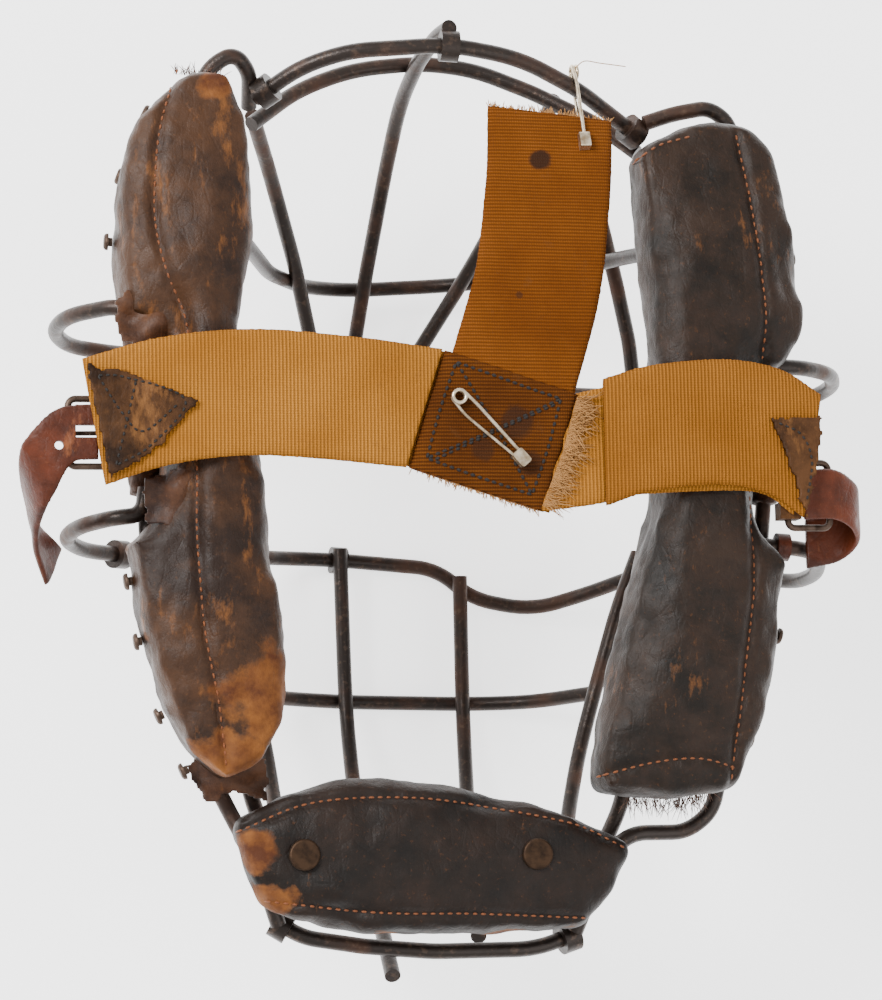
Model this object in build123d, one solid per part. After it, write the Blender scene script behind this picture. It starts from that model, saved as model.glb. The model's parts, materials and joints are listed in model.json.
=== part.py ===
"""Vintage open-vision catcher's mask: wire cage, leather pads, elastic head harness.

Millimetres. The mask lies cage down with its face opening upwards: +Z towards the wearer,
+Y towards the forehead, +X to the right as seen from above. z = 0 is the surface it lies on.
"""
from build123d import *
from math import radians, tan
import os

os.makedirs("parts", exist_ok=True)

# Driving dimensions ---------------------------------------------------------------------
ROD_R = 2.4            # cage rod, 3/16 inch
ROD_STEP = 4.95        # centre distance of two rods that cross and touch
FLOOR_Z = 2.4          # centre height of the rods that rest on the surface
RIM_Z = 105.0          # side rods of the rim, inside the pads
PAD_LOW = 97.0         # lower face of the side pads
PAD_HIGH = 131.0       # upper face of the side pads, towards the cheeks
PAD_ROUND = 9.0        # edge rounding of a side pad
PAD_CORNER = 4.0       # corner rounding of every pad's outline
LEATHER = 1.8          # cover leather
CHIN_LOW = 98.0
CHIN_HIGH = 119.0
CHIN_ROUND = 6.0
CHANNEL_R = 2.65       # channel that a rod runs through in a pad
SKIN_GAP = 0.1         # cover to stuffing

WEB = 1.8              # elastic webbing thickness
WEB_W = 38.0           # elastic webbing width, 1 1/2 inch
WEB_Z = 133.0          # webbing centre height over the pads
PATCH_Z = 128.0        # centre height of the stitched crossing
PATCH_T = 4.6
PATCH_TURN = -18.0     # how far the crossing is turned in plan
TAB_T = 1.5            # stitched leather tab

BUCKLE_Z = 128.3       # buckle wire centre height
BUCKLE_WIRE = 1.0      # buckle wire radius
BUCKLE_L = 13.0        # pivot bar to outer bar
BUCKLE_W = 19.6        # across the wires
BUCKLE_LOOP_W = 5.0    # each leg of the leather loop round the pivot bar
TONGUE_WIRE = 0.7
BILLET_W = 16.0
BILLET_T = 2.2
BILLET_HOLE_R = 1.25

PIN_WIRE = 0.55        # safety pin wire radius
PIN_L = 26.0           # coil centre to clasp
PIN_COIL_R = 1.9       # coil centre line radius


# The origin is the middle of the mask's outline on the surface it lies on
ORIGIN = (1.9, 3.2, 0)


# Helpers --------------------------------------------------------------------------------
def save(shape, name):
    """Write one node, each of its solids moved to the mask's origin."""
    placed = [Pos(*ORIGIN) * solid for solid in shape.solids()]
    whole = placed[0] if len(placed) == 1 else Compound(children=placed)
    export_step(whole, f"parts/{name}.step")


def bend_radii(points, largest=60.0):
    """One arc per corner, as large as its two runs allow."""
    spots = [Vector(*p) for p in points]
    radii = []
    for before, here, after in zip(spots, spots[1:], spots[2:]):
        turn = (here - before).get_angle(after - here)
        run = min((here - before).length, (after - here).length)
        radii.append(min(largest, 0.45 * run / tan(radians(turn) / 2)))
    return radii


def wire_path(points, largest=60.0):
    """Straight runs joined by tangent arcs."""
    return FilletPolyline(*points, radius=bend_radii(points, largest))


def tube(path, radius=ROD_R):
    return sweep(Plane(origin=path @ 0, z_dir=path % 0) * Circle(radius), path=path)


def straight(start, end, radius):
    path = Line(start, end)
    return tube(path, radius)


def sleeve(path, near, length=5.5, outer=4.7):
    """The end of one rod closed round another rod, beside a given place."""
    on_rod = path.closest_points(Vertex(*near))[0]
    at = path.param_at_point(on_rod)
    place = Plane(origin=path.position_at(at), z_dir=path.tangent_at(at))
    ring = place * (Cylinder(outer, length) - Cylinder(ROD_R + 0.05, length + 2))
    below_surface = Pos(0, 0, -10) * Box(400, 400, 20)
    return ring - below_surface


def flat_sheet(outline, corner):
    """A flat closed outline with rounded corners."""
    flat = make_face(Polyline(*outline, close=True))
    return fillet(flat.vertices(), corner)


def slab(flat, low, high, edge):
    """A flat outline raised from low to high, with its edges rounded."""
    block = Pos(0, 0, low) * extrude(flat, high - low)
    rims = block.edges().filter_by_position(Axis.Z, low, low)
    rims += block.edges().filter_by_position(Axis.Z, high, high)
    return fillet(rims, edge)


def cushion(outline, low, high, edge, rods):
    """Leather cover and stuffing of a pad, both cut by the channels of the rods in it."""
    flat = flat_sheet(outline, PAD_CORNER)

    def inside(gap):
        inner = offset(flat, amount=-gap, kind=Kind.INTERSECTION)
        return slab(inner, low + gap, high - gap, edge - gap)

    cover = slab(flat, low, high, edge) - inside(LEATHER)
    filling = inside(LEATHER + SKIN_GAP)
    for path in rods:
        channel = tube(path, CHANNEL_R)
        cover = cover - channel
        filling = filling - channel
    return cover, filling


def ribbon(sections, width, thick):
    """A strap: flat sections (place, direction across, direction of its face) joined in turn."""
    faces = []
    for place, across, normal in sections:
        lengthwise = Vector(*across).cross(Vector(*normal))
        faces.append(Plane(origin=place, x_dir=across, z_dir=lengthwise) * Rectangle(width, thick))
    return loft(faces, ruled=True)


# Cage rods ------------------------------------------------------------------------------
rods = {
    "top_rim": wire_path([(-60, 119, 101), (-47, 127, 110), (-33, 131, 115), (-3, 133, 118),
                          (19, 130, 116), (39, 122, 110), (61, 110, 99)]),
    "brow_arc": wire_path([(-60, 113, 93), (-44, 127, 82), (-26, 135, 78), (-4, 138, 77),
                           (13, 136, 78), (31, 128, 82), (50, 117, 88), (61, 107, 93)]),
    "left_side_frame": wire_path([(-61, 118, 95), (-62, 126, 105), (-67, 131, 109), (-74, 127, 108),
                                  (-80, 116, 106), (-92, 92, RIM_Z), (-96, 60, RIM_Z), (-96, 20, RIM_Z),
                                  (-94, -20, RIM_Z), (-88, -55, 103), (-77, -82, 100), (-70, -96, 98),
                                  (-62, -112, 103), (-56, -129, 98)]),
    "right_side_frame": wire_path([(61, 114, 103), (70, 117, 104), (81, 119, RIM_Z), (87, 115, RIM_Z),
                                   (92, 96, RIM_Z), (97, 60, RIM_Z), (97, 20, RIM_Z), (93, -20, RIM_Z),
                                   (87, -55, 104), (80, -84, 101), (77, -98, 99), (69, -104, 98),
                                   (50, -104, 100), (41, -114, 103), (34, -133, 97)]),
    "centre_upper_bar": wire_path([(-3, 138, 119), (-5, 138, 108), (-7, 135, 88), (-8, 129, 62),
                                   (-9, 113, 40), (-13, 80, 19), (-17, 49, FLOOR_Z + ROD_STEP)]),
    "left_upper_bar": wire_path([(-59, 117, 88), (-50, 106, 60), (-39, 82, 36), (-28, 49, 12)]),
    "right_upper_bar": wire_path([(38, 127, 80), (33, 108, 50), (22, 84, 24),
                                  (0, 48, FLOOR_Z + ROD_STEP)]),
    "outer_upper_bar": wire_path([(45, 122, 80), (56, 97, 60), (64, 75, 50), (70, 56, 42),
                                  (73, 40, 36)]),
    "brow_bar": wire_path([(-67, 79, 99), (-60, 78, 80), (-48, 77, 42), (-34, 77, 20), (-17, 78, 10),
                           (20, 80, 12), (46, 80, 34), (60, 78, 70), (66, 75, 99)]),
    "eye_bar": wire_path([(-94, 50, RIM_Z + ROD_STEP), (-103, 53, 110), (-117, 52, 98), (-120, 50, 82),
                          (-114, 48, 68), (-100, 48, 58), (-70, 50, 33), (-36, 52, 8),
                          (-18, 52, FLOOR_Z), (24, 48, FLOOR_Z), (52, 43, 16), (93, 37, 45),
                          (120, 33, 62), (127, 36, 78), (120, 37, 98), (106, 37, RIM_Z + ROD_STEP),
                          (93, 37, RIM_Z + ROD_STEP)]),
    "mouth_bar": wire_path([(-95, -1, RIM_Z + ROD_STEP), (-96, -9, RIM_Z + ROD_STEP),
                            (-105, -10, 110), (-114, -11, 97),
                            (-117, -13, 82), (-110, -15, 68), (-97, -15, 56), (-68, -13, 33),
                            (-40, -11, 8), (-22, -11, FLOOR_Z), (12, -14, FLOOR_Z),
                            (24, -24, FLOOR_Z), (44, -28, FLOOR_Z + 1), (62, -23, 12), (76, -18, 24),
                            (98, -19, 46), (116, -25, 64), (118, -24, 82), (114, -21, 98),
                            (107, -19.2, RIM_Z + ROD_STEP), (91, -18, RIM_Z + ROD_STEP)]),
    "lower_cross_bar": wire_path([(-66, -56, 44), (-58, -56, 26), (-40, -57, 8), (-18, -58, FLOOR_Z),
                                  (22, -59, FLOOR_Z), (42, -59, 10), (60, -57, 26)]),
    "left_lower_bar": wire_path([(-21, -8, FLOOR_Z + ROD_STEP + 0.3), (-20, -60, FLOOR_Z + ROD_STEP),
                                 (-20, -86, 20), (-20, -116, 50), (-21, -137, 82), (-21, -145, 92)]),
    "right_lower_bar": wire_path([(19, -17, FLOOR_Z + ROD_STEP), (19, -60, FLOOR_Z + ROD_STEP),
                                  (17, -88, 21), (12, -116, 52), (7, -134, 84)]),
    "left_jaw_bar": wire_path([(-64, -9, 38), (-58, -34, 31), (-53, -58, 29), (-50, -74, 32),
                               (-49, -92, 44), (-50, -112, 68), (-54, -127, 87)]),
    "right_jaw_bar": wire_path([(74, -12, 30), (66, -30, 33), (58, -57, 31), (51, -78, 35),
                                (44, -98, 48), (37, -118, 70), (33, -132, 88)]),
    "chin_rim": wire_path([(-56, -128, 91.5), (-48, -133, 93), (-30, -136, 94), (-9, -138, 95),
                           (22, -138, 94), (35, -134, 91.5)]),
    "left_jaw_strut": wire_path([(-66, -78, 102), (-64, -90, 98), (-60, -100, 94)]),
    "right_jaw_strut": wire_path([(50, -86, 102), (49, -96, 97), (45, -106, 93)]),
}
for name, path in rods.items():
    save(tube(path), name)


# Rod ends closed round the rods that they meet --------------------------------------------
rod_end_wraps = Compound(children=[
    sleeve(rods["top_rim"], (-57, 121, 103)),
    sleeve(rods["top_rim"], (58, 112, 101)),
    sleeve(rods["top_rim"], (-3, 133, 118)),
    sleeve(rods["mouth_bar"], (-21, -11, 2.4), length=5, outer=4.4),
    sleeve(rods["mouth_bar"], (-98, -15, 57), length=5, outer=4.4),
    sleeve(rods["chin_rim"], (-54, -129, 92)),
    sleeve(rods["chin_rim"], (33, -135, 92)),
])
save(rod_end_wraps, "rod_end_wraps")


# Side pads --------------------------------------------------------------------------------
left_outline = [(-86, 124), (-68, 121), (-62, 98), (-64, 45), (-60, -24), (-55, -58), (-63, -87),
                (-81, -90), (-95, -58), (-101, -19), (-86, -16), (-86, 57), (-105, 61), (-104, 82),
                (-96, 104)]
right_outline = [(50, 100), (70, 110), (88, 111), (100, 82), (105, 52), (87, 45), (86, -25),
                 (98, -31), (90, -60), (80, -88), (66, -95), (33, -95), (35, -62),
                 (46, -30), (48, 0), (50, 45)]
chin_outline = [(-73, -99), (-57, -90), (-32, -88), (2, -93), (30, -98), (49, -108), (34, -134),
                (8, -132), (-22, -132), (-62, -127)]


def make_pad(name, outline, low, high, edge, inside_rods):
    cover, filling = cushion(outline, low, high, edge, [rods[r] for r in inside_rods])
    save(cover, f"{name}_cover")
    save(filling, f"{name}_stuffing")


make_pad("left_pad", left_outline, PAD_LOW, PAD_HIGH, PAD_ROUND,
         ["left_side_frame", "left_jaw_strut", "brow_bar"])
make_pad("right_pad", right_outline, PAD_LOW, PAD_HIGH, PAD_ROUND,
         ["right_side_frame", "right_jaw_strut", "brow_bar"])
make_pad("chin_pad", chin_outline, CHIN_LOW, CHIN_HIGH, CHIN_ROUND,
         ["left_side_frame", "right_side_frame"])


# Leather round the bare rim in the ear notches, studs and rivets --------------------------
def leather_wrap(points):
    path = wire_path(points)
    return tube(path, ROD_R + LEATHER + 0.1) - tube(path, ROD_R + 0.1)


save(leather_wrap([(-96, 43, RIM_Z), (-96, 20, RIM_Z), (-95.1, 3, RIM_Z)]), "left_rim_wrap")
save(leather_wrap([(97, 31, RIM_Z), (97, 20, RIM_Z), (94.5, -5, RIM_Z)]), "right_rim_wrap")


def side_stud(start, end, share, level):
    """A domed stud on the outer wall of a pad, between two corners of its outline."""
    wall = Vector(end[0] - start[0], end[1] - start[1], 0)
    outward = wall.cross(Vector(0, 0, 1)).normalized() * -1
    foot = Vector(start[0], start[1], level) + wall * share + outward * 0.05
    shank = Cylinder(1.3, 1.4, align=(Align.CENTER, Align.CENTER, Align.MIN))
    head = Pos(0, 0, 1.2) * Cylinder(2.5, 1.3, align=(Align.CENTER, Align.CENTER, Align.MIN))
    head = fillet(head.edges().sort_by(Axis.Z)[-1], 1.0)
    return Plane(origin=foot, z_dir=outward) * (shank + head)


LEFT_STUDS = [((-105, 61), (-104, 82), 0.5), ((-104, 82), (-96, 104), 0.4),
              ((-96, 104), (-86, 124), 0.3),
              ((-95, -58), (-101, -19), 0.75), ((-95, -58), (-101, -19), 0.3),
              ((-81, -90), (-95, -58), 0.7), ((-81, -90), (-95, -58), 0.2)]
RIGHT_STUDS = [((88, 111), (100, 82), 0.5), ((100, 82), (105, 52), 0.4), ((98, -31), (90, -60), 0.5),
               ((90, -60), (80, -88), 0.6)]
STUD_Z = 113.0
left_studs = [side_stud(a, b, share, STUD_Z) for a, b, share in LEFT_STUDS]
right_studs = [side_stud(a, b, share, STUD_Z) for a, b, share in RIGHT_STUDS]
save(Compound(children=left_studs), "left_pad_studs")
save(Compound(children=right_studs), "right_pad_studs")


def rivet(x, y):
    disc = Cylinder(4.6, 1.4, align=(Align.CENTER, Align.CENTER, Align.MIN))
    disc = fillet(disc.edges().sort_by(Axis.Z)[-1], 0.8)
    return Pos(x, y, CHIN_HIGH + 0.05) * disc


save(Compound(children=[rivet(-51, -109), rivet(18, -110)]), "chin_rivets")


# Elastic harness ----------------------------------------------------------------------------
UP = (0, 0, 1)
left_band = ribbon([((-111, 15, WEB_Z), (-6, 34, 0), UP), ((-92, 21, WEB_Z + 0.2), (-1, 34, 0), UP),
                    ((-68, 24, WEB_Z), (0, 1, 0), UP), ((-42, 23, 131.4), (2, 34, 0), UP),
                    ((-17, 21, 129), (10.5, 32, 0), UP)], WEB_W - 1, WEB)
save(left_band, "left_band")

right_band = ribbon([((28, 7, 128.6), (10.5, 32, 0), UP), ((40, 10, 131), (2, 34, 0), UP),
                     ((52, 13, WEB_Z), (0, 1, 0), UP), ((84, 14, WEB_Z), (0, 1, 0), UP),
                     ((98, 7, WEB_Z), (5, 34, 0), UP)], WEB_W - 1, WEB)
save(right_band, "right_band")

RETURN_Z = WEB_Z + WEB + 0.5
right_band_return = ribbon([((38, 10, 133.4), (0, 1, 0), UP), ((52, 14, RETURN_Z), (0, 1, 0), UP),
                            ((74, 16, RETURN_Z), (0, 1, 0), UP), ((90, 13, RETURN_Z), (2, 34, 0), UP),
                            ((101, 6, RETURN_Z), (6, 34, 0), UP)], WEB_W, WEB)
save(right_band_return, "right_band_return")

crossing_patch = Pos(6, 14, PATCH_Z) * (Rot(0, 0, PATCH_TURN) * Box(43.4, 36, PATCH_T))
save(crossing_patch, "crossing_patch")

top_strap = ribbon([((27, 111, 115.2), (1, 0, 0), (0, 0.2, 1)),
                    ((25.5, 92, 119), (1, 0, 0), (0, 0.17, 1)),
                    ((20.5, 60, 124.5), (1, -0.05, 0), (0, 0.16, 1)),
                    ((12.4, 32.6, 128), (34, -11, 0), UP)], WEB_W - 2, WEB)
PIN_NOTCH = Pos(38, 107.5, 115) * Box(4.2, 15, 12)
save(top_strap - PIN_NOTCH, "top_strap")


def leather_tab(outline, low):
    flat = make_face(Polyline(*outline, close=True))
    flat = fillet(flat.vertices(), 1.5)
    return Pos(0, 0, low) * extrude(flat, TAB_T)


left_tab = leather_tab([(-114, 31), (-104, 30), (-82, 21), (-96, 5), (-108, -1)], WEB_Z + 1.4)
right_tab = leather_tab([(88, 17), (104, 18), (102, 4), (98, -13), (94, 1)], RETURN_Z + 1.2)
save(left_tab, "left_tab")
save(right_tab, "right_tab")


# Buckles --------------------------------------------------------------------------------------
def buckle_loop(bar_x, middle_y):
    """Two legs of leather, sewn under the webbing, that hold the pivot bar."""
    legs = []
    for side in (-1, 1):
        leg = Box(6.4, BUCKLE_LOOP_W, 6.0)
        leg = leg - Pos(0, 0, -0.4) * (Rot(90, 0, 0) * Cylinder(BUCKLE_WIRE + 0.1, BUCKLE_LOOP_W + 2))
        legs.append(Pos(bar_x, middle_y + side * 4.9, BUCKLE_Z + 0.4) * leg)
    return Compound(children=legs)


def buckle_frame(bar_x, middle_y, outward):
    half = BUCKLE_W / 2
    outer_x = bar_x + outward * BUCKLE_L
    ring = FilletPolyline((bar_x, middle_y + half, BUCKLE_Z), (outer_x, middle_y + half, BUCKLE_Z),
                          (outer_x, middle_y - half, BUCKLE_Z), (bar_x, middle_y - half, BUCKLE_Z),
                          radius=2.2, close=True)
    return sweep(Plane(origin=ring @ 0, z_dir=ring % 0) * Circle(BUCKLE_WIRE), path=ring)


def buckle_tongue(bar_x, middle_y, outward):
    """The tongue lies under the outer bar, on the side turned to the cage."""
    hub = Cylinder(2.0, 1.8) - Cylinder(BUCKLE_WIRE + 0.1, 4)
    hub = Pos(bar_x, middle_y, BUCKLE_Z) * (Rot(90, 0, 0) * hub)
    tip_z = BUCKLE_Z - BUCKLE_WIRE - TONGUE_WIRE - 0.15
    arm = straight((bar_x + outward * 1.5, middle_y, BUCKLE_Z - 0.7),
                   (bar_x + outward * (BUCKLE_L + 1.5), middle_y, tip_z), TONGUE_WIRE)
    arm = arm - Pos(bar_x, middle_y, BUCKLE_Z) * (Rot(90, 0, 0) * Cylinder(BUCKLE_WIRE + 0.1, 6))
    return hub + arm


LEFT_BAR = (-106.0, 12.5)
RIGHT_BAR = (95.0, -5.0)
for name, (bar_x, middle_y), outward in (("left", LEFT_BAR, -1), ("right", RIGHT_BAR, 1)):
    save(buckle_loop(bar_x, middle_y), f"{name}_buckle_loop")
    save(buckle_frame(bar_x, middle_y, outward), f"{name}_buckle_frame")
    save(buckle_tongue(bar_x, middle_y, outward), f"{name}_buckle_tongue")


# Leather billets ------------------------------------------------------------------------------
BILLET_Z = BUCKLE_Z + BUCKLE_WIRE + BILLET_T / 2 + 0.35
left_billet = ribbon([((-110.6, 12.5, BILLET_Z), (0, 1, 0), UP),
                      ((-119.5, 11.5, BILLET_Z), (-0.2, 0.98, 0), UP),
                      ((-125, 6, BILLET_Z), (-0.6, 0.8, 0), UP),
                      ((-128.6, -1, 125), (-0.25, 0.85, -0.25), (-0.8, -0.35, 0.45)),
                      ((-129, -8, 115), (0, 0.78, -0.62), (-1, 0, 0)),
                      ((-126.5, -16, 106), (0.15, 0.78, -0.6), (-0.95, 0, -0.25)),
                      ((-121.5, -23, 100), (0.3, 0.75, -0.6), (-0.8, -0.1, -0.55))], BILLET_W, BILLET_T)
tongue_notch = Pos(-112.5, 12.5, BILLET_Z) * Box(9, 3.6, 6)
punched_hole = Pos(-121.8, 8.4, BILLET_Z) * Cylinder(BILLET_HOLE_R, 8)
save(left_billet - tongue_notch - punched_hole, "left_billet")

right_billet = ribbon([((99.4, -5, BILLET_Z), (0, 1, 0), UP), ((109, -5, BILLET_Z), (0, 1, 0), UP),
                       ((116, -8, 127), (0, 1, 0), (0.75, 0, 0.66)),
                       ((118.5, -12, 120.5), (0, 1, 0), (1, 0, -0.05)),
                       ((114.5, -16, 115), (0, 1, 0), (0.55, 0, -0.83)),
                       ((105, -18, 114), (0, 1, 0), (0, 0, -1))],
                      BILLET_W - 1, BILLET_T)
save(right_billet, "right_billet")

NEAR_LEG = Line((96.4, -18.4, RIM_Z + ROD_STEP), (100.4, -18.7, RIM_Z + ROD_STEP))
right_billet_keeper = tube(NEAR_LEG, ROD_R + LEATHER) - tube(NEAR_LEG, ROD_R + 0.1)
save(right_billet_keeper, "right_billet_keeper")


# Safety pins ------------------------------------------------------------------------------------
COIL_STEP = 1.25


def pin_body(bow):
    """Coil turn, front arm and clasp, along +X with the needle side at -Y."""
    coil = Torus(PIN_COIL_R, PIN_WIRE)
    arm = tube(wire_path([(0, PIN_COIL_R, 0), (5, bow, 0), (PIN_L - 2.5, 2.4, 0)]), PIN_WIRE)
    clasp = Pos(PIN_L - 0.5, 1.4, 0) * Box(5, 3.6, 3.2)
    clasp = fillet(clasp.edges().filter_by(Axis.Z), 0.8)
    mouth = Pos(PIN_L - 1.2, 0.2, 0) * Box(5, 3.2, 1.7)
    return coil + arm + (clasp - mouth)


def pin_needle(bow):
    coil = Pos(0, 0, -COIL_STEP) * Torus(PIN_COIL_R, PIN_WIRE)
    arm = tube(wire_path([(0, -PIN_COIL_R, -COIL_STEP), (5, -bow, -COIL_STEP), (PIN_L - 0.4, 0.6, 0)]),
               PIN_WIRE - 0.05)
    return coil + arm


rim_pin_place = Plane(origin=(37, 127.9, 109), x_dir=(0.04, -0.945, 0.32), z_dir=(-1, -0.042, 0))
patch_pin_place = Plane(origin=(-5, 23.5, PATCH_Z + PATCH_T / 2 + 2.2), x_dir=(0.664, -0.748, 0), z_dir=UP)
save(rim_pin_place * pin_body(3.4), "rim_pin_body")
save(rim_pin_place * pin_needle(5.6), "rim_pin_needle")
save(patch_pin_place * pin_body(2.3), "patch_pin_body")
save(patch_pin_place * pin_needle(2.3), "patch_pin_needle")
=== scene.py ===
"""Looks of the vintage catcher's mask: leather pads, elastic harness, aged iron, camera and light.

Lengths in the lists are millimetres in the mask's own drawing frame; place() turns them into metres.
"""
import bmesh
import bpy
import json
import random
from math import cos, pi, radians, sin
from mathutils import Matrix, Vector, noise
from mathutils.bvhtree import BVHTree


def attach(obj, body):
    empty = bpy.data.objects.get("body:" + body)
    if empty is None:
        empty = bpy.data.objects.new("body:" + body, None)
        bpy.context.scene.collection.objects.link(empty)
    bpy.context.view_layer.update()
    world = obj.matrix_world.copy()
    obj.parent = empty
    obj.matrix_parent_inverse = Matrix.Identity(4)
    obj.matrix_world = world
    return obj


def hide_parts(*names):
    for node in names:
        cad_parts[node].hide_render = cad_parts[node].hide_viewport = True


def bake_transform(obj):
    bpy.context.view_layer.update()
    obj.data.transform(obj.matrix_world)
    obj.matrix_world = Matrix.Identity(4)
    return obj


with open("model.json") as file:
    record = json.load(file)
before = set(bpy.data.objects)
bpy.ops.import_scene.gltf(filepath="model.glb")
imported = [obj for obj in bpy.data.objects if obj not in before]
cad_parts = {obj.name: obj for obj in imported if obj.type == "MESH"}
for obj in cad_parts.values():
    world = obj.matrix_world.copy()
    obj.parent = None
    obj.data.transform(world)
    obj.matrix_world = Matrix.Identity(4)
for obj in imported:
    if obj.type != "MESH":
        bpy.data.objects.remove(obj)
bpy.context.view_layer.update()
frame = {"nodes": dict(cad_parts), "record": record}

MM = 0.001
ORIGIN = Vector((1.9, 3.2, 0.0))
UP = (0, 0, 1)
ELASTIC = 1.8          # webbing thickness
ELASTIC_WIDTH = 37.0
PAD_LOW, PAD_HIGH = 97.5, 131.0
CHIN_LOW, CHIN_HIGH = 98.5, 119.2


def place(x, y, z):
    return (Vector((x, y, z)) + ORIGIN) * MM


# Material helpers ---------------------------------------------------------------------------
class Nodes:
    """A material's node tree, with one short call for each node that these materials use."""

    def __init__(self, name):
        self.material = bpy.data.materials.new(name)
        self.material.use_nodes = True
        self.tree = self.material.node_tree
        self.shader = self.tree.nodes["Principled BSDF"]
        self.where = self.tree.nodes.new("ShaderNodeTexCoord").outputs["Object"]

    def link(self, source, target):
        self.tree.links.new(source, target)

    def set(self, node, values):
        for key, value in values.items():
            if hasattr(value, "is_output"):
                self.link(value, node.inputs[key])
            else:
                node.inputs[key].default_value = value

    def noise(self, scale, detail=6.0, rough=0.6, where=None):
        node = self.tree.nodes.new("ShaderNodeTexNoise")
        self.set(node, {"Vector": where or self.where, "Scale": scale,
                        "Detail": detail, "Roughness": rough})
        return node.outputs["Fac"]

    def cracks(self, scale, where=None):
        node = self.tree.nodes.new("ShaderNodeTexVoronoi")
        node.feature = "DISTANCE_TO_EDGE"
        self.set(node, {"Vector": where or self.where, "Scale": scale})
        return node.outputs["Distance"]

    def stretched(self, scale):
        node = self.tree.nodes.new("ShaderNodeMapping")
        self.set(node, {"Vector": self.where, "Scale": scale})
        return node.outputs["Vector"]

    def waves(self, direction, scale, distort=1.0):
        node = self.tree.nodes.new("ShaderNodeTexWave")
        node.bands_direction = direction
        self.set(node, {"Vector": self.where, "Scale": scale, "Distortion": distort,
                        "Detail": 2.0, "Detail Scale": 2.0})
        return node.outputs["Fac"]

    def ramp(self, value, low, high, start=0.0, end=1.0):
        node = self.tree.nodes.new("ShaderNodeMapRange")
        self.set(node, {0: value, 1: low, 2: high, 3: start, 4: end})
        return node.outputs[0]

    def maths(self, operation, a, b):
        node = self.tree.nodes.new("ShaderNodeMath")
        node.operation = operation
        node.use_clamp = True
        self.set(node, {0: a, 1: b})
        return node.outputs[0]

    def mix(self, share, a, b):
        node = self.tree.nodes.new("ShaderNodeMix")
        node.data_type = "RGBA"
        self.set(node, {0: share, 6: a if hasattr(a, "is_output") else (*a, 1),
                        7: b if hasattr(b, "is_output") else (*b, 1)})
        return node.outputs[2]

    def spot(self, centre, radius, ragged=0.5):
        """1 inside a ragged round area about a place, 0 outside it."""
        node = self.tree.nodes.new("ShaderNodeVectorMath")
        node.operation = "DISTANCE"
        self.set(node, {0: self.where, 1: tuple(place(*centre))})
        wander = self.ramp(self.noise(70.0), 0.3, 0.7, -ragged * radius * MM, ragged * radius * MM)
        distance = self.maths("ADD", node.outputs["Value"], wander)
        return self.ramp(distance, radius * MM * 0.8, radius * MM * 1.1, 1.0, 0.0)

    def bump(self, heights, distance=0.0004):
        """Chain of bumps: (height, strength) pairs."""
        normal = None
        for height, strength in heights:
            node = self.tree.nodes.new("ShaderNodeBump")
            self.set(node, {"Height": height, "Strength": strength, "Distance": distance})
            if normal is not None:
                self.link(normal, node.inputs["Normal"])
            normal = node.outputs["Normal"]
        self.link(normal, self.shader.inputs["Normal"])

    def finish(self, **values):
        names = {"colour": "Base Color", "roughness": "Roughness", "metallic": "Metallic",
                 "specular": "Specular IOR Level"}
        for key, value in values.items():
            self.set(self.shader, {names[key]: value})
        return self.material


def iron():
    m = Nodes("aged_iron")
    rust = m.ramp(m.noise(55.0, 8.0), 0.5, 0.68)
    specks = m.ramp(m.noise(420.0, 4.0), 0.55, 0.7)
    dark = m.mix(m.noise(25.0), (0.01, 0.0075, 0.0065), (0.032, 0.021, 0.016))
    colour = m.mix(m.maths("MULTIPLY", rust, 0.6), dark, (0.085, 0.036, 0.019))
    colour = m.mix(m.maths("MULTIPLY", specks, 0.35), colour, (0.14, 0.085, 0.055))
    m.bump([(m.noise(260.0, 6.0), 0.5), (m.noise(900.0, 3.0), 0.35)], 0.0003)
    return m.finish(colour=colour, roughness=m.ramp(rust, 0, 1, 0.36, 0.66), metallic=0.55)


def leather(name, dark, mid, worn, bare_spots=(), wear=0.62, shine=0.44,
            gloss=0.2):
    """Old leather: two browns, golden scuffs, cracks and bare worn places."""
    m = Nodes(name)
    colour = m.mix(m.ramp(m.noise(42.0, 9.0, 0.68), 0.4, 0.6), dark, mid)
    drawn = m.stretched((1.0, 0.35, 1.0))
    scuffs = m.ramp(m.noise(130.0, 10.0, 0.72, drawn), wear, wear + 0.12)
    colour = m.mix(m.maths("MULTIPLY", scuffs, 0.75), colour, worn)
    fine = m.ramp(m.noise(700.0, 5.0, 0.7), 0.6, 0.75)
    colour = m.mix(m.maths("MULTIPLY", fine, 0.3), colour, worn)
    bare = 0.0
    for centre, radius in bare_spots:
        bare = m.maths("MAXIMUM", bare, m.spot(centre, radius))
    bare_tone = m.mix(m.ramp(m.noise(110.0, 8.0), 0.35, 0.7), (0.06, 0.017, 0.005), (0.22, 0.078, 0.016))
    colour = m.mix(bare, colour, bare_tone)
    split = m.ramp(m.cracks(260.0, m.stretched((1.0, 0.6, 1.0))), 0.0, 0.12)
    m.bump([(m.noise(75.0, 5.0), 0.4), (m.noise(210.0, 8.0, 0.7, drawn), 0.45), (split, 0.12),
            (m.noise(1500.0, 4.0), 0.25)], 0.0006)
    rough = m.maths("ADD", m.ramp(m.noise(160.0), 0.3, 0.7, shine - 0.06, shine + 0.14),
                    m.maths("MULTIPLY", bare, 0.25))
    return m.finish(colour=colour, roughness=rough, specular=gloss)


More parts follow.
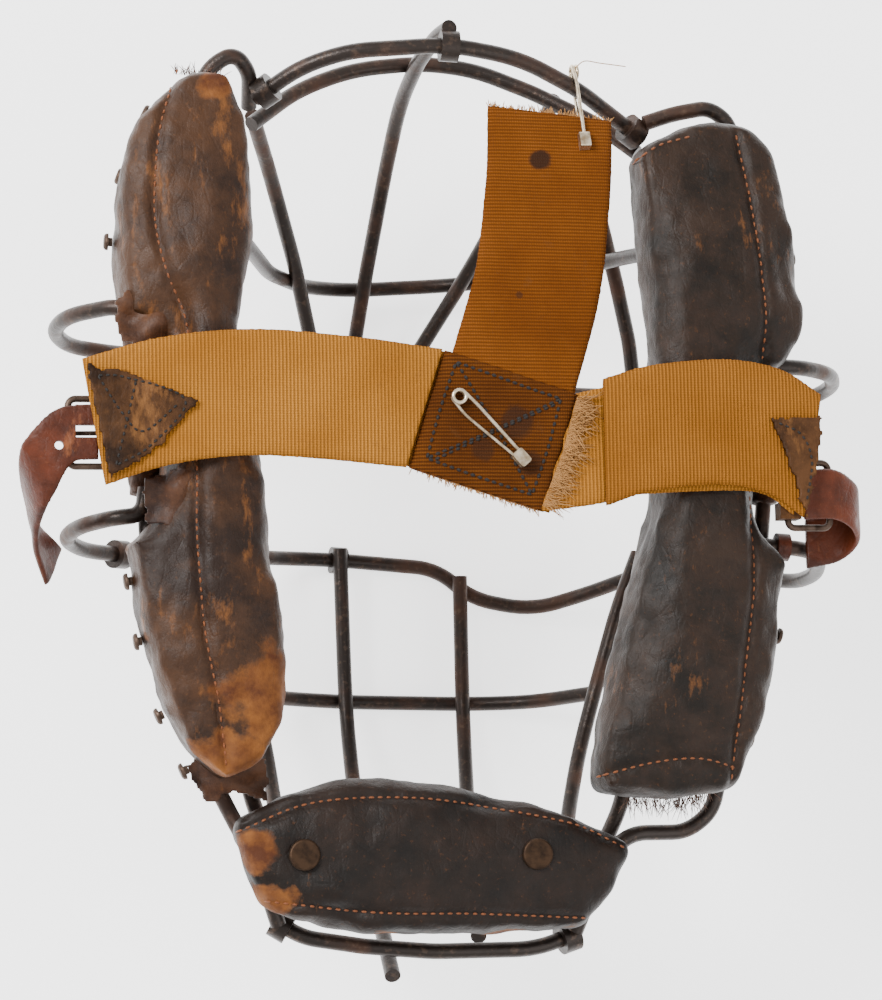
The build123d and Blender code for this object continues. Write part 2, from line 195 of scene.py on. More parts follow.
def webbing(name, direction, light, deep, stains):
    """Ribbed elastic: ribs across the length, threads along it, painted shade in the grooves between them,
    stains and soiling.
    """
    m = Nodes(name)
    other = "Y" if direction == "X" else "X"
    ribs = m.waves(direction, 290.0, 0.35)
    threads = m.waves(other, 420.0, 0.5)
    tone = m.mix(m.ramp(m.noise(30.0, 6.0), 0.35, 0.68), light, deep)
    # painted shade: the grooves between ribs and threads are darkened in colour, standing in for the shade
    # in the weave
    groove_shading = m.maths("MULTIPLY", m.ramp(ribs, 0.0, 1.0, 0.25, 1.0), m.ramp(threads, 0.0, 1.0, 0.7, 1.0))
    colour = m.mix(groove_shading, tuple(c * 0.42 for c in deep), tone)
    soil = m.ramp(m.noise(140.0, 8.0, 0.75), 0.6, 0.8)
    colour = m.mix(m.maths("MULTIPLY", soil, 0.45), colour, (0.12, 0.055, 0.02))
    for centre, radius, strength in stains:
        colour = m.mix(m.maths("MULTIPLY", m.spot(centre, radius, 0.35), strength), colour,
                       (0.03, 0.014, 0.008))
    m.bump([(ribs, 0.75), (threads, 0.3), (m.noise(1800.0, 3.0), 0.25)], 0.0004)
    return m.finish(colour=colour, roughness=0.9, specular=0.06)


def thread(name, tone):
    m = Nodes(name)
    colour = m.mix(m.noise(900.0), tuple(c * 0.5 for c in tone), tone)
    m.bump([(m.waves("DIAGONAL", 900.0), 0.5)], 0.0002)
    return m.finish(colour=colour, roughness=0.75)


def metal(name, bright, dull, rough):
    m = Nodes(name)
    colour = m.mix(m.ramp(m.noise(300.0, 6.0), 0.42, 0.66), bright, dull)
    m.bump([(m.noise(700.0, 5.0), 0.3)], 0.0002)
    dulled = m.ramp(m.noise(240.0), 0.3, 0.7, rough, rough + 0.2)
    return m.finish(colour=colour, roughness=dulled, metallic=0.9)


IRON = iron()
PAD_WORN = (0.17, 0.062, 0.015)
LEFT_LEATHER = leather("left_pad_leather", (0.014, 0.006, 0.003), (0.048, 0.02, 0.008), PAD_WORN,
                       [((-63, -62, 128), 13), ((-74, -82, 122), 10), ((-74, 118, 126), 7)], wear=0.56)
RIGHT_LEATHER = leather("right_pad_leather", (0.006, 0.0035, 0.002), (0.022, 0.011, 0.006), PAD_WORN,
                        [((88, 112, 118), 5)], wear=0.6)
CHIN_LEATHER = leather("chin_pad_leather", (0.005, 0.003, 0.002), (0.015, 0.0075, 0.0045), PAD_WORN,
                       [((-66, -108, 116), 8), ((-60, -122, 112), 7), ((-30, -134, 108), 6),
                        ((10, -136, 108), 6), ((31, -135, 112), 5)], wear=0.64)
WRAP_LEATHER = leather("wrap_leather", (0.02, 0.009, 0.006), (0.085, 0.035, 0.016), PAD_WORN, wear=0.6)
TAB_LEATHER = leather("tab_leather", (0.016, 0.007, 0.003), (0.075, 0.032, 0.012), (0.2, 0.085, 0.026),
                      wear=0.54, gloss=0.1)
BILLET_LEATHER = leather("billet_leather", (0.035, 0.008, 0.003), (0.1, 0.022, 0.008), (0.24, 0.075, 0.025),
                         wear=0.58, shine=0.38)
BAND = webbing("band_webbing", "X", (0.5, 0.205, 0.033), (0.36, 0.135, 0.018), [((-104, 26, 134), 4, 0.9)])
STRAP = webbing("strap_webbing", "Y", (0.24, 0.075, 0.012), (0.15, 0.042, 0.006),
                [((24, 98, 119), 3.4, 0.95), ((12, 72, 122), 1.6, 0.6), ((15, 55, 126), 1.2, 0.6)])
PATCH_WEB = webbing("patch_webbing", "Y", (0.17, 0.053, 0.009), (0.07, 0.02, 0.004),
                    [((12, 16, 130), 5, 0.7), ((2, 8, 130), 4, 0.6), ((16, 4, 130), 3.5, 0.6)])
RETURN_WEB = webbing("return_webbing", "X", (0.4, 0.155, 0.024), (0.26, 0.092, 0.012),
                     [((96, 12, 136), 6, 0.5)])
ORANGE_THREAD = thread("orange_thread", (0.24, 0.07, 0.018))
BLACK_THREAD = thread("black_thread", (0.012, 0.008, 0.006))
FIBRE = thread("frayed_fibre", (0.5, 0.24, 0.07))
HAIR = thread("horsehair", (0.11, 0.045, 0.022))
PIN_METAL = metal("pin_metal", (0.66, 0.56, 0.42), (0.3, 0.21, 0.12), 0.22)
DARK_METAL = metal("dark_metal", (0.09, 0.06, 0.045), (0.03, 0.018, 0.012), 0.42)
RIVET_METAL = metal("rivet_metal", (0.05, 0.028, 0.016), (0.02, 0.012, 0.008), 0.45)


# Mesh helpers ---------------------------------------------------------------------------------
def piece(name, verts, faces, material, smooth=True):
    mesh = bpy.data.meshes.new(name)
    mesh.from_pydata([tuple(v) for v in verts], [], faces)
    mesh.materials.append(material)
    made = bpy.data.objects.new(name, mesh)
    bpy.context.scene.collection.objects.link(made)
    for face in mesh.polygons:
        face.use_smooth = smooth
    return made


def apply_modifiers(made):
    bpy.context.view_layer.update()
    graph = bpy.context.evaluated_depsgraph_get()
    mesh = bpy.data.meshes.new_from_object(made.evaluated_get(graph))
    made.modifiers.clear()
    made.data = mesh
    return made


def rough_surface(made, amount, size, seed=0.0):
    """Moves every point along its normal by smooth noise."""
    mesh = made.data
    normals = [v.normal.copy() for v in mesh.vertices]
    for vertex, normal in zip(mesh.vertices, normals):
        spot = vertex.co / (size * MM) + Vector((seed, seed, seed))
        vertex.co += normal * noise.fractal(spot, 0.8, 2.0, 4) * amount * MM


def curve_through(spots, steps):
    """Points evenly spaced on a smooth curve through the spots."""
    ends = [spots[0] * 2 - spots[1]] + spots + [spots[-1] * 2 - spots[-2]]
    line = []
    for i in range(len(spots) - 1):
        a, b, c, d = ends[i:i + 4]
        for k in range(12):
            t = k / 12
            line.append(0.5 * (2 * b + (c - a) * t + (2 * a - 5 * b + 4 * c - d) * t * t
                               + (3 * b - a - 3 * c + d) * t ** 3))
    line.append(spots[-1])
    lengths = [0.0]
    for a, b in zip(line, line[1:]):
        lengths.append(lengths[-1] + (b - a).length)
    even = []
    j = 0
    for i in range(steps + 1):
        target = lengths[-1] * i / steps
        while j < len(line) - 2 and lengths[j + 1] < target:
            j += 1
        gap = lengths[j + 1] - lengths[j]
        even.append(line[j].lerp(line[j + 1], (target - lengths[j]) / gap if gap else 0.0))
    return even


def ribbon(name, sections, width, thick, material, steps=90, wander=0.35, seed=1.0):
    """A strap through flat sections: (place, direction across, direction of its face)."""
    middles = curve_through([place(*s[0]) for s in sections], steps)
    acrosses = curve_through([Vector(s[1]).normalized() for s in sections], steps)
    normals = curve_through([Vector(s[2]).normalized() for s in sections], steps)
    rows = 24
    verts, faces = [], []
    for i, (middle, across, normal) in enumerate(zip(middles, acrosses, normals)):
        across, normal = across.normalized(), normal.normalized()
        for side in (1, -1):
            for j in range(rows + 1):
                share = j / rows - 0.5
                edge = 1 - (abs(share) * 2) ** 14 * 0.75
                ripple = noise.noise(Vector((i * 0.09, share * 3, seed))) * wander
                fray = noise.noise(Vector((i * 0.8, seed, side))) * 0.25 if j in (0, rows) else 0.0
                out = across * (share * width + fray)
                verts.append(middle + (out + normal * (side * thick / 2 * edge + ripple)) * MM)
    loop = 2 * (rows + 1)
    for i in range(steps):
        a, b = i * loop, (i + 1) * loop
        for j in range(rows):
            faces.append((a + j, b + j, b + j + 1, a + j + 1))
            faces.append((a + rows + 1 + j, a + rows + 2 + j, b + rows + 2 + j, b + rows + 1 + j))
        faces.append((a, a + rows + 1, b + rows + 1, b))
        faces.append((a + rows, b + rows, b + loop - 1, a + loop - 1))
    for start in (0, steps * loop):
        for j in range(rows):
            quad = (start + j, start + j + 1, start + rows + 2 + j, start + rows + 1 + j)
            faces.append(quad if start == 0 else quad[::-1])
    return piece(name, verts, faces, material)


def cut_away(made, add_cutter):
    """Cuts a closed piece with a temporary shape that add_cutter draws in a bmesh."""
    closed = bmesh.new()
    closed.from_mesh(made.data)
    bmesh.ops.recalc_face_normals(closed, faces=closed.faces)
    closed.to_mesh(made.data)
    closed.free()
    drawn = bmesh.new()
    add_cutter(drawn)
    mesh = bpy.data.meshes.new("cutter")
    drawn.to_mesh(mesh)
    drawn.free()
    cutter = bpy.data.objects.new("cutter", mesh)
    bpy.context.scene.collection.objects.link(cutter)
    difference = made.modifiers.new("cut", "BOOLEAN")
    difference.operation = "DIFFERENCE"
    difference.object = cutter
    apply_modifiers(made)
    bpy.data.objects.remove(cutter)
    bpy.data.meshes.remove(mesh)


def strands(name, lines, radius, material, sides=6):
    """One mesh of round threads, each through its own list of places in metres."""
    verts, faces = [], []
    for line in lines:
        first = len(verts)
        for i, spot in enumerate(line):
            ahead = line[min(i + 1, len(line) - 1)] - line[max(i - 1, 0)]
            turn = ahead.to_track_quat("Z", "Y").to_matrix()
            slim = 0.35 if i in (0, len(line) - 1) else 1.0
            for k in range(sides):
                angle = 2 * pi * k / sides
                verts.append(spot + turn @ Vector((cos(angle), sin(angle), 0)) * radius * slim * MM)
        for i in range(len(line) - 1):
            for k in range(sides):
                a = first + i * sides + k
                b = first + i * sides + (k + 1) % sides
                faces.append((a, b, b + sides, a + sides))
        faces.append(tuple(first + k for k in reversed(range(sides))))
        last = first + (len(line) - 1) * sides
        faces.append(tuple(last + k for k in range(sides)))
    return piece(name, verts, faces, material)


def surface_above(made):
    graph = bpy.context.evaluated_depsgraph_get()
    tree = BVHTree.FromObject(made, graph)

    def height(x, y, default):
        hit = tree.ray_cast(place(x, y, 200), Vector((0, 0, -1)))
        return hit[0].z / MM if hit[0] is not None else default
    return height


def stitches(name, route, target, material, pitch=2.5, lift=0.1, radius=0.34, default=130.0):
    """A row of stitches laid on a surface along a route seen from above."""
    height = surface_above(target)
    line = curve_through([Vector((x, y, 0)) for x, y in route], 300)
    length = sum((b - a).length for a, b in zip(line, line[1:]))
    count = max(2, int(length / pitch))
    threads = []
    for i in range(count):
        ends = []
        for share in (0.08, 0.3, 0.55, 0.8):
            spot = line[min(300, int((i + share) / count * 300))]
            dip = -0.5 if share in (0.08, 0.8) else 0.0
            z = height(spot.x, spot.y, default) + lift + dip
            ends.append(place(spot.x, spot.y, z))
        threads.append(ends)
    return strands(name, threads, radius, material)


# Pads -----------------------------------------------------------------------------------------
VOXEL = 4.0
FLAT_MARGIN = 3.0      # left free above and below a pad's block, for the air pressure to fill


def prism(name, outline, low, high, material):
    count = len(outline)
    verts = [place(x, y, z) for z in (low, high) for x, y in outline]
    faces = [tuple(reversed(range(count))), tuple(range(count, 2 * count))]
    for i in range(count):
        j = (i + 1) % count
        faces.append((i, j, count + j, count + i))
    return piece(name, verts, faces, material)


def inflate(made, cap):
    """Voxel remesh, a short cloth run with air pressure, and a limit on how far a point moves."""
    remesh = made.modifiers.new("remesh", "REMESH")
    remesh.mode = "VOXEL"
    remesh.voxel_size = VOXEL * MM
    smooth = made.modifiers.new("smooth", "SMOOTH")
    smooth.iterations = 6
    apply_modifiers(made)
    before = [v.co.copy() for v in made.data.vertices]
    cloth = made.modifiers.new("cloth", "CLOTH")
    cloth.settings.use_pressure = True
    cloth.settings.uniform_pressure_force = 4.0
    cloth.settings.effector_weights.gravity = 0.0
    cloth.settings.quality = 5
    cloth.point_cache.frame_end = 20
    for step in range(1, 21):
        bpy.context.scene.frame_set(step)
    apply_modifiers(made)
    bpy.context.scene.frame_set(1)
    for vertex, start in zip(made.data.vertices, before):
        move = vertex.co - start
        if move.length > cap * MM:
            vertex.co = start + move.normalized() * cap * MM
    return made


def groove(made, route, depth, width):
    """Draws the surface in along a seam."""
    line = curve_through([Vector((x, y, 0)) for x, y in route], 200)
    for vertex in made.data.vertices:
        spot = vertex.co / MM - ORIGIN
        near = min((Vector((spot.x, spot.y, 0)) - p).length for p in line)
        if near < width and vertex.normal.z > 0:
            vertex.co.z -= depth * MM * (1 - near / width) ** 2


def pad(name, outline, low, high, material, seams, cap, seed):
    """A stuffed leather pad, stretched to the height of its CAD cushion."""
    made = prism(name, outline, low + FLAT_MARGIN, high - FLAT_MARGIN, material)
    inflate(made, cap)
    subdivide = made.modifiers.new("fine", "SUBSURF")
    subdivide.levels = subdivide.render_levels = 2
    apply_modifiers(made)
    heights = [vertex.co.z / MM for vertex in made.data.vertices]
    bottom, top = min(heights), max(heights)
    for vertex, height in zip(made.data.vertices, heights):
        vertex.co.z = (low + (high - low) * (height - bottom) / (top - bottom)) * MM
    rough_surface(made, 1.6, 34, seed)
    rough_surface(made, 0.3, 15, seed)
    for route, depth in seams:
        groove(made, route, depth, 3.5)
    for face in made.data.polygons:
        face.use_smooth = True
    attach(made, "mask")
    return made


LEFT_OUTLINE = [(-82, 124), (-70, 123), (-64, 108), (-63, 75), (-66, 45), (-62, 4), (-59, -23),
                (-54, -49), (-55, -70), (-63, -84), (-73, -88), (-84, -80), (-92, -64), (-98, -40),
                (-102, -19), (-94, -12), (-91, 10), (-91, 43), (-102, 48), (-106, 66), (-105, 86),
                (-97, 107)]
RIGHT_OUTLINE = [(52, 102), (69, 110), (87, 112), (96, 102), (104, 76), (107, 50), (105, 38),
                 (94, 30), (92, 1), (93, -18), (99, -26), (95, -47), (86, -75), (77, -93),
                 (56, -95), (34, -94), (36, -77), (43, -47), (50, -11), (54, 38), (54, 74)]
CHIN_OUTLINE = [(-73, -98), (-54, -89), (-36, -87), (-9, -90), (21, -95), (49, -107), (44, -118),
                (34, -133), (8, -134), (-22, -133), (-49, -129), (-63, -125)]
LEFT_SEAM = [(-86, 121), (-91, 105), (-93, 90), (-93, 74), (-90, 60), (-84, 44), (-82, 10), (-82, -18),
             (-80, -45), (-76, -66), (-74, -84)]
RIGHT_SEAM = [(84, 106), (87, 86), (89, 66), (90, 40), (85, 0), (84, -30), (80, -60), (76, -90)]
RIGHT_END_SEAM = [(35, -88), (52, -84), (66, -83), (78, -86)]
RIGHT_TOP_SEAM = [(52, 97), (60, 102), (70, 105)]
CHIN_TOP_SEAM = [(-70, -102), (-48, -94), (-18, -93), (10, -97), (32, -102), (46, -109)]
CHIN_END_SEAM = [(-62, -122), (-30, -126), (0, -127), (34, -129)]

left_pad = pad("left_pad", LEFT_OUTLINE, PAD_LOW, PAD_HIGH, LEFT_LEATHER,
               [(LEFT_SEAM, 2.0)], 6, 1.0)
right_pad = pad("right_pad", RIGHT_OUTLINE, PAD_LOW, PAD_HIGH, RIGHT_LEATHER,
                [(RIGHT_SEAM, 2.0), (RIGHT_END_SEAM, 1.2)], 6, 2.0)
chin_pad = pad("chin_pad", CHIN_OUTLINE, CHIN_LOW, CHIN_HIGH, CHIN_LEATHER,
               [(CHIN_TOP_SEAM, 1.4), (CHIN_END_SEAM, 1.4)], 1.5, 3.0)
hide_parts("left_pad_cover", "left_pad_stuffing")
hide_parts("right_pad_cover", "right_pad_stuffing")
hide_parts("chin_pad_cover", "chin_pad_stuffing")
PAD_STITCHES = [("left_pad_stitches", LEFT_SEAM, left_pad, 126),
                ("right_pad_stitches", RIGHT_SEAM, right_pad, 126),
                ("right_end_stitches", RIGHT_END_SEAM, right_pad, 124),
                ("right_top_stitches", RIGHT_TOP_SEAM, right_pad, 124),
                ("chin_top_stitches", CHIN_TOP_SEAM, chin_pad, 116),
                ("chin_end_stitches", CHIN_END_SEAM, chin_pad, 116)]
for name, route, target, default in PAD_STITCHES:
    sewn = stitches(name, route, target, ORANGE_THREAD, default=default)
    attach(sewn, "mask")


# Harness --------------------------------------------------------------------------------------
LEFT_BAND_SECTIONS = [((-112, 15, 133.1), (-6, 34, 0), UP), ((-92, 21, 133.6), (-1, 34, 0), UP),
                      ((-68, 24, 133.2), (0, 1, 0), UP), ((-42, 23, 131.4), (2, 34, 0), UP),
                      ((-15, 20.4, 129), (10.5, 32, 0), UP)]
RIGHT_BAND_SECTIONS = [((25, 7.6, 128.2), (10.5, 32, 0), UP), ((40, 10, 131), (2, 34, 0), UP),
                       ((52, 13, 133), (0, 1, 0), UP), ((84, 14, 133), (0, 1, 0), UP),
                       ((98, 7, 133), (5, 34, 0), UP)]
RETURN_SECTIONS = [((38, 10, 133.6), (0, 1, 0), UP), ((52, 14, 135.5), (0, 1, 0), UP),
                   ((74, 16, 135.6), (0, 1, 0), UP), ((90, 13, 135.5), (2, 34, 0), UP),
                   ((101, 6, 135.2), (6, 34, 0), UP)]
RETURN_WIDTH = ELASTIC_WIDTH + 0.6
left_band = ribbon("left_elastic", LEFT_BAND_SECTIONS, ELASTIC_WIDTH, ELASTIC, BAND,
                   wander=0.4, seed=2.0)
right_band = ribbon("right_elastic", RIGHT_BAND_SECTIONS, ELASTIC_WIDTH, ELASTIC, BAND,
                    wander=0.2, seed=3.0)
right_return = ribbon("right_elastic_return", RETURN_SECTIONS, RETURN_WIDTH, ELASTIC, RETURN_WEB,
                      wander=0.3, seed=4.0)
top_strap = ribbon("top_elastic", [((28.2, 113, 115), (1, -0.1, 0), (0, 0.2, 1)),
                                   ((26.5, 92, 119), (1, -0.04, 0), (0, 0.17, 1)),
                                   ((21.2, 60, 124.5), (1, -0.06, 0), (0, 0.16, 1)),
                                   ((12, 30.6, 128.6), (34, -11, 0), UP)], 38.5, ELASTIC, STRAP,
                   wander=0.7, seed=5.0)
PATCH_TURN = radians(-18)
PATCH_MIDDLE = Vector((6, 14, 0))


def on_patch(u, v):
    """A place on the sewn crossing, u along the band and v towards the forehead."""
    return (PATCH_MIDDLE.x + u * cos(PATCH_TURN) - v * sin(PATCH_TURN),
            PATCH_MIDDLE.y + u * sin(PATCH_TURN) + v * cos(PATCH_TURN))


LONG = (cos(PATCH_TURN), sin(PATCH_TURN), 0)
PATCH_LEVELS = ((18, 128.4), (8, 128.7), (-6, 128.5), (-18.5, 128))
patch_sections = [((*on_patch(0, v), z), LONG, UP) for v, z in PATCH_LEVELS]
crossing = ribbon("sewn_crossing", patch_sections, 42, 3.0, PATCH_WEB,
                  steps=60, wander=0.6, seed=6.0)
under_sections = [((*on_patch(u, 0), 126.7), (-LONG[1], LONG[0], 0), UP) for u in (-26, 0, 23)]
under = ribbon("crossing_underlayer", under_sections, 36, 1.7, RETURN_WEB,
               steps=40, wander=0.3, seed=7.0)
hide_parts("left_band")
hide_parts("right_band")
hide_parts("right_band_return")
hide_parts("top_strap")
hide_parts("crossing_patch")
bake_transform(left_band)
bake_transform(right_band)
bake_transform(right_return)
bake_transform(top_strap)
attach(crossing, "harness")
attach(under, "harness")

PATCH_ROUTES = [[on_patch(-17, 15.5), on_patch(0, 15.2), on_patch(16, 15)],
                [on_patch(16, 15), on_patch(16.5, 0), on_patch(16, -15)],
                [on_patch(16, -15), on_patch(0, -15), on_patch(-17, -14.5)],
                [on_patch(-17, -14.5), on_patch(-17.5, 0), on_patch(-17, 15.5)],
                [on_patch(-17, 15.5), on_patch(0, 0.5), on_patch(16, -15)],
                [on_patch(16, 15), on_patch(0, 0.2), on_patch(-17, -14.5)],
                [on_patch(15, 13), on_patch(-1, -1.5), on_patch(-15, -14.5)]]
for number, route in enumerate(PATCH_ROUTES):
    sewn = stitches(f"crossing_stitches_{number + 1}", route, crossing, BLACK_THREAD,
                    pitch=2.2, radius=0.48, default=130)
    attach(sewn, "harness")


def fibres(name, spots, direction, length, count, material, body, seed, radius=0.14):
    """Loose threads that start between the spots and fan out in a direction."""
    rng = random.Random(seed)
    lines = []
    for _ in range(count):
        k = rng.randrange(len(spots) - 1)
        start = place(*spots[k]).lerp(place(*spots[k + 1]), rng.random())
        fan = Vector((rng.uniform(-0.6, 0.6), rng.uniform(-0.6, 0.6), rng.uniform(-0.25, 0.3)))
        heading = Vector(direction) + fan
        heading.normalize()
        curl = Vector((rng.uniform(-1, 1), rng.uniform(-1, 1), rng.uniform(-0.5, 0.3))) * 0.35
        reach = length * rng.uniform(0.4, 1.0) * MM
        lines.append([start + heading * reach * t + curl * reach * t * t for t in (0, 0.25, 0.5, 0.75, 1)])
    made = strands(name, lines, radius, material, sides=4)
    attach(made, body)
    return made


patch_right = [(*on_patch(20.5, 17), 130.4), (*on_patch(21, 0), 130.4), (*on_patch(20, -17), 129)]
patch_bottom = [(*on_patch(-20, -18), 128), (*on_patch(0, -18.3), 128), (*on_patch(19, -18), 128)]
fibres("patch_fray_right", patch_right, (1, -0.35, 0.2), 8.5, 420, FIBRE, "harness", 11)
fibres("patch_fray_bottom", patch_bottom, (0.1, -1, 0), 2.5, 150, FIBRE, "harness", 12)
fibres("strap_fray_top", [(9.5, 114.6, 115), (28, 113, 115), (47, 111, 115)], (0, 1, 0), 2.4, 160, FIBRE,
       "mask", 13)
fibres("pad_hair", [(48, -93, 108), (62, -94, 112), (74, -91, 106)], (0.1, -1, -0.3), 7, 160, HAIR,
       "mask", 14, 0.1)
fibres("left_pad_hair", [(-86, 123, 112), (-72, 121, 116)], (0.1, 0.8, 0.3), 4, 60, HAIR,
       "mask", 15, 0.1)


# Tabs, billets, wraps ---------------------------------------------------------------------------
def leather_patch(name, outline, low, thick, material, body, replaced):
    """A thin piece of old leather with a worn, slightly torn edge."""
    xs = [x for x, y in outline]
    ys = [y for x, y in outline]
    step = 0.8

    def inside(x, y):
        odd = False
        for (x1, y1), (x2, y2) in zip(outline, outline[1:] + outline[:1]):
            if (y1 > y) != (y2 > y) and x < (x2 - x1) * (y - y1) / (y2 - y1) + x1:
                odd = not odd
        return odd

    columns = int((max(xs) - min(xs)) / step) + 3
    rows = int((max(ys) - min(ys)) / step) + 3
    verts, faces, index = [], [], {}
    for i in range(columns):
        for j in range(rows):
            x = min(xs) + (i - 1) * step
            y = min(ys) + (j - 1) * step
            index[i, j] = len(verts)
            ripple = noise.noise(Vector((x * 0.12, y * 0.12, 3.0))) * 0.5
            verts.append(place(x, y, low + thick / 2 + ripple))
    for i in range(columns - 1):
        for j in range(rows - 1):
            x = min(xs) + (i - 0.5) * step
            y = min(ys) + (j - 0.5) * step
            torn = noise.noise(Vector((x * 0.35, y * 0.35, 8.0))) * 1.2
            if inside(x + torn, y - torn):
                faces.append((index[i, j], index[i + 1, j], index[i + 1, j + 1], index[i, j + 1]))
    made = piece(name, verts, faces, material)
    mesh = bmesh.new()
    mesh.from_mesh(made.data)
    bmesh.ops.delete(mesh, geom=[v for v in mesh.verts if not v.link_faces], context="VERTS")
    mesh.to_mesh(made.data)
    mesh.free()
    smooth = made.modifiers.new("smooth", "SMOOTH")
    smooth.iterations = 4
    solid = made.modifiers.new("solid", "SOLIDIFY")
    solid.thickness = thick * MM
    solid.offset = 0
    apply_modifiers(made)
    for face in made.data.polygons:
        face.use_smooth = True
    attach(made, body)
    if replaced:
        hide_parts(replaced)
    return made


LEFT_TAB = [(-114, 31), (-104, 30), (-82, 21), (-96, 5), (-108, -1)]
RIGHT_TAB = [(88, 17), (104, 18), (102, 4), (98, -13), (94, 1)]
TAB_THICK = 1.3
left_tab = leather_patch("left_leather_tab", LEFT_TAB, 134.5, TAB_THICK, TAB_LEATHER,
                         "mask", "left_tab")
right_tab = leather_patch("right_leather_tab", RIGHT_TAB, 136.6, TAB_THICK, TAB_LEATHER,
                          "mask", "right_tab")
TAB_ROUTES = [("left_tab_edge_stitches",
               [(-111, 28), (-103, 27.5), (-86, 21), (-96, 8), (-106, 2)], left_tab),
              ("left_tab_row_stitches", [(-111, 28), (-104, 17), (-98, 12), (-88, 20)], left_tab),
              ("left_tab_cross_stitches", [(-106, 2), (-103, 14), (-100, 27)], left_tab),
              ("right_tab_stitches", [(90, 15.5), (97, 12), (100, 4), (98, -8)], right_tab)]
for name, route, target in TAB_ROUTES:
    sewn = stitches(name, route, target, BLACK_THREAD, pitch=2.0, radius=0.34, default=136)
    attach(sewn, "mask")

LEFT_BILLET_SECTIONS = [((-110.6, 12.5, 130.75), (0, 1, 0), UP),
                        ((-119.5, 11.5, 130.75), (-0.2, 0.98, 0), UP),
                        ((-125, 6, 130.3), (-0.6, 0.8, 0), (-0.15, -0.1, 1)),
                        ((-128.6, -1, 125), (-0.25, 0.85, -0.25), (-0.8, -0.35, 0.45)),
                        ((-129, -8, 115), (0, 0.78, -0.62), (-1, 0, 0)),
                        ((-126.5, -16, 106), (0.15, 0.78, -0.6), (-0.95, 0, -0.25)),
                        ((-121.5, -23, 100), (0.3, 0.75, -0.6), (-0.8, -0.1, -0.55))]
RIGHT_BILLET_SECTIONS = [((99.4, -5, 130.75), (0, 1, 0), UP),
                         ((109, -5, 130.75), (0, 1, 0), UP),
                         ((116, -8, 127), (0, 1, 0), (0.75, 0, 0.66)),
                         ((118.5, -12, 120.5), (0, 1, 0), (1, 0, -0.05)),
                         ((114.5, -16, 115), (0, 1, 0), (0.55, 0, -0.83)),
                         ((105, -18, 114), (0, 1, 0), (0, 0, -1))]
left_billet = ribbon("left_strap_end", LEFT_BILLET_SECTIONS, 16, 2.0, BILLET_LEATHER,
                     wander=0.3, seed=8.0)
right_billet = ribbon("right_strap_end", RIGHT_BILLET_SECTIONS, 15, 2.0, BILLET_LEATHER,
                      wander=0.3, seed=9.0)
NOTCH_SIZE = (9.0, 3.6, 6.0)
HOLE_R = 1.25


def tongue_notch(drawn):
    size = Matrix.Diagonal((*(Vector(NOTCH_SIZE) * MM), 1))
    shape = Matrix.Translation(place(-112.5, 12.5, 130.75)) @ size
    bmesh.ops.create_cube(drawn, size=1, matrix=shape)


def punched_hole(drawn):
    bmesh.ops.create_cone(drawn, cap_ends=True, segments=32, radius1=HOLE_R * MM, radius2=HOLE_R * MM,
                          depth=8 * MM, matrix=Matrix.Translation(place(-121.8, 8.4, 130.75)))


cut_away(left_billet, tongue_notch)
cut_away(left_billet, punched_hole)
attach(left_billet, "left_billet")
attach(right_billet, "mask")
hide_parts("left_billet")
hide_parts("right_billet")


def scrap(name, outline, low, seed):
    """A torn, curled bit of the old pad leather."""
    made = leather_patch(name, outline, low, 1.3, WRAP_LEATHER, "mask", None)
    middle = sum((v.co for v in made.data.vertices), Vector()) / len(made.data.vertices)
    for vertex in made.data.vertices:
        out = (vertex.co - middle).xy.length / MM
        curl = noise.noise(vertex.co / (9 * MM) + Vector((seed, seed, seed)))
        vertex.co.z += (curl * 5.0 - out * 0.12) * MM
    return made


scrap("left_upper_flap", [(-105, 52), (-96, 57), (-88, 52), (-84, 42), (-95, 37), (-104, 40)], 124, 1.0)
scrap("left_lower_flap", [(-97, 0), (-83, 4), (-76, 2), (-78, -9), (-86, -15), (-97, -13)], 125, 2.0)
scrap("left_end_scrap", [(-84, -82), (-78, -94), (-70, -90), (-60, -93), (-60, -80), (-72, -76)], 108, 3.0)


def lumpy_wrap(name, spots, radius, material, replaced, seed):
    """Leather wound round a rod: a thick sleeve with folds."""
    line = curve_through([place(*s) for s in spots], 60)
    made = strands(name, [line], radius, material, sides=40)
    rough_surface(made, 0.9, 6, seed)
    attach(made, "mask")
    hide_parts(replaced)
    return made


lumpy_wrap("left_ear_wrap", [(-96, 47, 105), (-96, 20, 105), (-94.8, -3, 105)], 4.6, WRAP_LEATHER,
           "left_rim_wrap", 1.0)
lumpy_wrap("right_ear_wrap", [(97, 33, 105), (97, 20, 105), (94.5, -5, 105)], 4.6, WRAP_LEATHER,
           "right_rim_wrap", 2.0)

loose_thread = strands("loose_thread", [curve_through([place(37.4, 128.6, 112), place(40, 130.4, 113.4),
                                                       place(45, 130, 113), place(53, 129, 113.6)], 30)],
                       0.16, FIBRE)
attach(loose_thread, "mask")


# CAD nodes keep their shape and take these materials ----------------------------------------------
FINISHES = {"cage_iron": IRON, "stud_metal": DARK_METAL, "rivet_metal": RIVET_METAL,
            "buckle_wire": DARK_METAL, "pin_metal": PIN_METAL, "tab_leather": TAB_LEATHER,
            "billet_leather": BILLET_LEATHER}
for entry in frame["record"]["subparts"]:
    finish = FINISHES.get(entry["material_slot"])
    node = frame["nodes"][entry["node"]]
    if finish is not None:
        node.data.materials.clear()
        node.data.materials.append(finish)


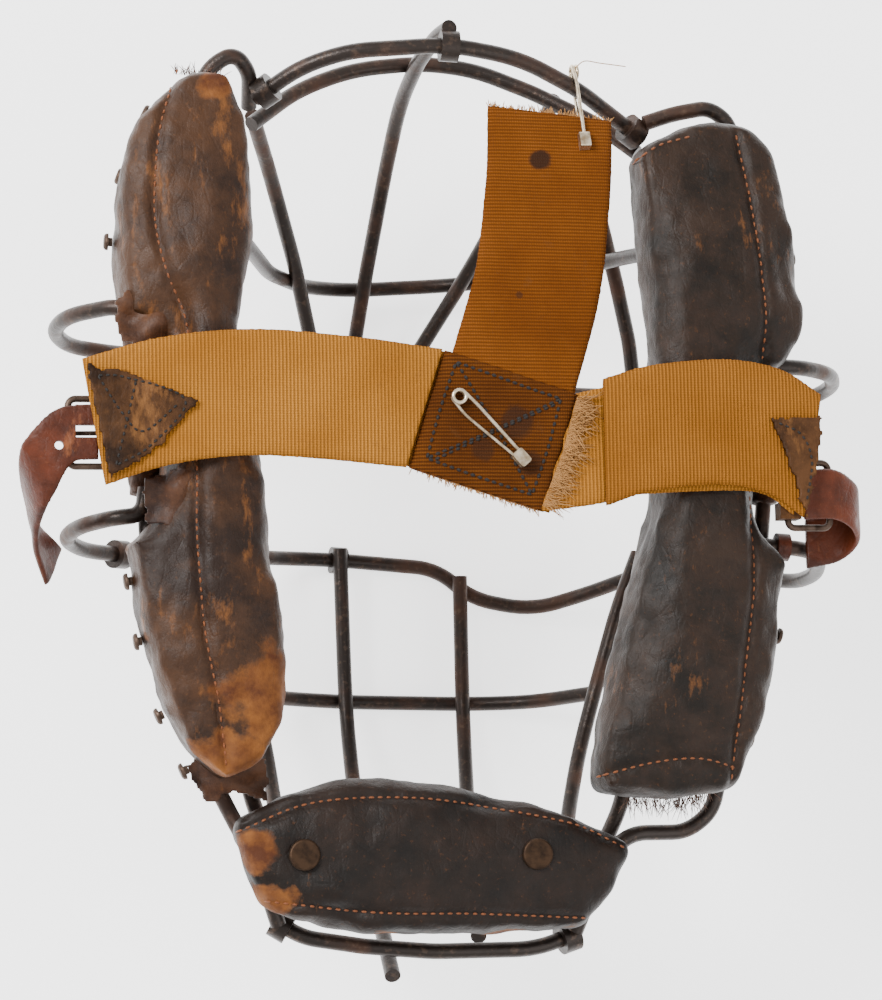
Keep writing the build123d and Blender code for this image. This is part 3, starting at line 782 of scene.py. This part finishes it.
# Camera, floor and light ---------------------------------------------------------------------------
VIEW_TARGET = place(0, 0, 75)
VIEW_ROLL, VIEW_PITCH, VIEW_TWIST = radians(11), radians(7), radians(-1.2)
VIEW_DISTANCE = 0.985
SENSOR_WIDTH = 36
LENS = 129.8
towards = Vector((-sin(VIEW_ROLL), -sin(VIEW_PITCH), 0))
towards.z = (1 - towards.x ** 2 - towards.y ** 2) ** 0.5
right = Vector((0, 1, 0)).cross(towards).normalized()
up = towards.cross(right)
turned_right = right * cos(VIEW_TWIST) + up * sin(VIEW_TWIST)
turned_up = up * cos(VIEW_TWIST) - right * sin(VIEW_TWIST)
camera = bpy.data.objects.new("camera", bpy.data.cameras.new("camera"))
bpy.context.scene.collection.objects.link(camera)
camera.data.sensor_fit = "HORIZONTAL"
camera.data.sensor_width = SENSOR_WIDTH
camera.data.lens = LENS
camera.matrix_world = (Matrix.Translation(VIEW_TARGET + towards * VIEW_DISTANCE)
                       @ Matrix((turned_right, turned_up, towards)).transposed().to_4x4())
bpy.context.scene.camera = camera

floor_look = Nodes("paper_floor")
paper = floor_look.mix(floor_look.noise(3.0), (0.9, 0.9, 0.905), (0.93, 0.93, 0.93))
floor_look.bump([(floor_look.noise(400.0), 0.05)], 0.0002)
floor_look.link(paper, floor_look.shader.inputs["Emission Color"])
floor_look.shader.inputs["Emission Strength"].default_value = 2.0
floor_look.finish(colour=paper, roughness=0.7)
REACH = 3.0
floor = piece("floor", [(-REACH, -REACH, 0), (REACH, -REACH, 0), (REACH, REACH, 0), (-REACH, REACH, 0)],
              [(0, 1, 2, 3)], floor_look.material, smooth=False)
floor.location.z = -0.0005


def area_light(name, spot, size, power):
    lamp = bpy.data.lights.new(name, "AREA")
    lamp.size = size
    lamp.energy = power
    made = bpy.data.objects.new(name, lamp)
    made.location = spot
    made.rotation_euler = (VIEW_TARGET - Vector(spot)).to_track_quat("-Z", "Y").to_euler()
    bpy.context.scene.collection.objects.link(made)


area_light("key", (-0.9, 0.5, 1.1), 0.6, 30)
area_light("fill", (0.8, -0.6, 1.4), 1.2, 8)
world = bpy.data.worlds.new("studio")
bpy.context.scene.world = world
world.use_nodes = True
world.node_tree.nodes["Background"].inputs["Color"].default_value = (1, 1, 1, 1)
world.node_tree.nodes["Background"].inputs["Strength"].default_value = 1.15
